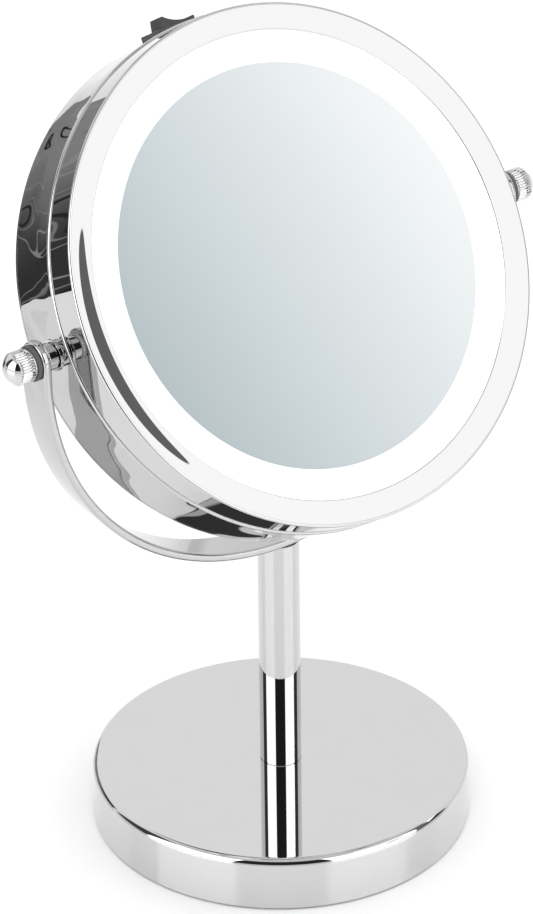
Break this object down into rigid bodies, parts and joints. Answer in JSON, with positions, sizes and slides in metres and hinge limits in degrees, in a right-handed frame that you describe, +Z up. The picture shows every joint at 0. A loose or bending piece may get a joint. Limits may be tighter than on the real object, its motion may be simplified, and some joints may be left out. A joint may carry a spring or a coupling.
{
  "type": "lighted vanity mirror",
  "caption": "Round two-sided tabletop mirror with a lit rim, tilting in a half-ring yoke with knurled clamping knobs on a stem and weighted round base; rocker switch on top.",
  "frame": {"origin": "middle of the round base underside, on the surface it stands on", "axes": "+Z up along the stem, -Y the way the lit mirror faces, +X along the tilt axis to the right of a person facing the mirror"},
  "size_m": [0.2108, 0.127, 0.2851],
  "materials": {
    "base_shell": "polished",
    "base_weight": "rough cast",
    "base_pad": "closed-cell foam",
    "base_washer": "zinc plated",
    "base_bolt": "zinc plated",
    "stem_tube": "polished",
    "stem_bottom_plug": "turned",
    "stem_top_plug": "turned",
    "yoke": "polished",
    "yoke_screw": "polished",
    "yoke_bushes": "nylon",
    "housing": "chromed plastic",
    "front_bezel": "chromed plastic",
    "bezel_screws": "zinc plated",
    "chassis": "moulded, white",
    "mirror_tape": "foam tape",
    "front_mirror": "silvered glass",
    "led_board": "white solder mask",
    "leds": "phosphor lamps",
    "led_resistors": "chip resistors",
    "light_diffuser": "frosted acrylic, lit",
    "battery_tray": "moulded, black",
    "tray_screws": "zinc plated",
    "batteries": "printed sleeve, plain",
    "battery_springs": "nickel plated wire",
    "battery_contacts": "nickel plated sheet",
    "switch_body": "dark grey",
    "switch_terminals": "tinned brass",
    "switch_rocker": "dark grey",
    "wire_battery_to_switch": "insulated wire, red",
    "wire_switch_to_lights": "insulated wire, red",
    "wire_battery_to_lights": "insulated wire, black",
    "stud_plates": "pressed",
    "stud_nuts": "zinc plated",
    "pivot_studs": "threaded",
    "pivot_spacers": "polished, turned rings",
    "knob_washer_left": "friction washer, dark grey",
    "knob_washer_right": "friction washer, dark grey",
    "knob_left": "polished, knurled",
    "knob_right": "polished, knurled",
    "rear_ring": "chromed plastic",
    "rear_mirror": "silvered concave glass",
    "rear_carrier": "moulded, white"
  },
  "bodies": {
    "stand": {"base_shell": "base_shell", "base_weight": "base_weight", "base_pad": "base_pad", "base_washer": "base_washer", "base_bolt": "base_bolt", "stem_tube": "stem_tube", "stem_bottom_plug": "stem_bottom_plug", "stem_top_plug": "stem_top_plug", "yoke": "yoke", "yoke_screw": "yoke_screw", "yoke_bushes": "yoke_bushes"},
    "head": {"housing": "housing", "front_bezel": "front_bezel", "bezel_screws": "bezel_screws", "chassis": "chassis", "mirror_tape": "mirror_tape", "front_mirror": "front_mirror", "led_board": "led_board", "leds": "leds", "led_resistors": "led_resistors", "light_diffuser": "light_diffuser", "battery_tray": "battery_tray", "tray_screws": "tray_screws", "batteries": "batteries", "battery_springs": "battery_springs", "battery_contacts": "battery_contacts", "switch_body": "switch_body", "switch_terminals": "switch_terminals", "wire_battery_to_switch": "wire_battery_to_switch", "wire_switch_to_lights": "wire_switch_to_lights", "wire_battery_to_lights": "wire_battery_to_lights", "stud_plates": "stud_plates", "stud_nuts": "stud_nuts", "pivot_studs": "pivot_studs", "pivot_spacers": "pivot_spacers"},
    "rocker": {"switch_rocker": "switch_rocker"},
    "left_washer": {"knob_washer_left": "knob_washer_left"},
    "left_knob": {"knob_left": "knob_left"},
    "right_washer": {"knob_washer_right": "knob_washer_right"},
    "right_knob": {"knob_right": "knob_right"},
    "rear_cover": {"rear_ring": "rear_ring", "rear_mirror": "rear_mirror", "rear_carrier": "rear_carrier"}
  },
  "joints": [
    {"name": "head_tilt", "type": "hinge", "parent": "stand", "child": "head", "pos_m": [0, 0, 0.204], "axis": [1, 0, 0], "continuous": true},
    {"name": "switch_rock", "type": "hinge", "parent": "head", "child": "rocker", "pos_m": [0, 0.05278, 0.27052], "axis": [0, -0.8339, 0.5519], "range_deg": [0, 26]},
    {"name": "left_washer_travel", "type": "slide", "parent": "head", "child": "left_washer", "axis": [-1, 0, 0], "range_m": [0, 0.0016]},
    {"name": "left_knob_turn", "type": "hinge", "parent": "left_washer", "child": "left_knob", "pos_m": [-0.0964, 0, 0.204], "axis": [-1, 0, 0], "range_deg": [0, 720]},
    {"name": "right_washer_travel", "type": "slide", "parent": "head", "child": "right_washer", "axis": [1, 0, 0], "range_m": [0, 0.0016]},
    {"name": "right_knob_turn", "type": "hinge", "parent": "right_washer", "child": "right_knob", "pos_m": [0.0964, 0, 0.204], "axis": [1, 0, 0], "range_deg": [0, 720]},
    {"name": "rear_cover_pull", "type": "slide", "parent": "head", "child": "rear_cover", "axis": [0, 0.8339, -0.5519], "range_m": [0, 0.02]}
  ],
  "couplings": [
    {"joint": "left_knob_turn", "follows": "left_washer_travel", "rad_per_m": 7854},
    {"joint": "right_knob_turn", "follows": "right_washer_travel", "rad_per_m": 7854}
  ]
}
